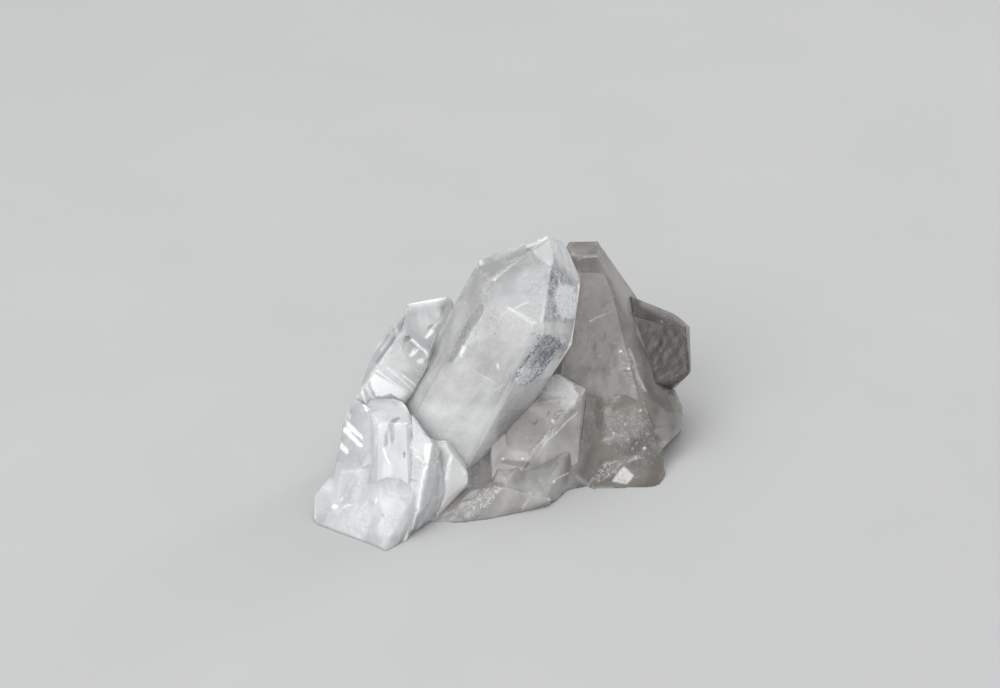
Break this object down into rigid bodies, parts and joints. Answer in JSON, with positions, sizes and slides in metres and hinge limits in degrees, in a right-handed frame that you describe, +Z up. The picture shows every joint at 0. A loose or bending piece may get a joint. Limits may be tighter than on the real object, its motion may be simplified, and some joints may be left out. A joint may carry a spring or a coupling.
{
  "type": "quartz crystal cluster",
  "caption": "Free-standing cluster of intergrown six-sided quartz crystals with pointed tips, leaning out of a broken root of milky quartz that rests flat.",
  "frame": {"origin": "centre of the cluster's footprint box, on the plane that it rests on", "axes": "+Z up from the rest plane; +X along the cluster's longest side, the way the largest crystal leans; -Y towards the side with the front crystals"},
  "size_m": [0.0904, 0.0748, 0.0602],
  "materials": {
    "clear_quartz": "glossy natural crystal faces, clear to milky inside",
    "milky_quartz": "glossy crystal faces over milky, fractured quartz",
    "grey_quartz": "satin to glossy, translucent warm grey",
    "broken_quartz": "rough conchoidal fracture, semi-matte"
  },
  "bodies": {
    "root": {"main_crystal": "clear_quartz", "left_crystal": "clear_quartz", "front_left_crystal": "milky_quartz", "front_small_crystal": "milky_quartz", "front_right_crystal": "grey_quartz", "back_right_crystal": "grey_quartz", "far_right_crystal": "grey_quartz", "root_mass": "broken_quartz"}
  },
  "joints": []
}
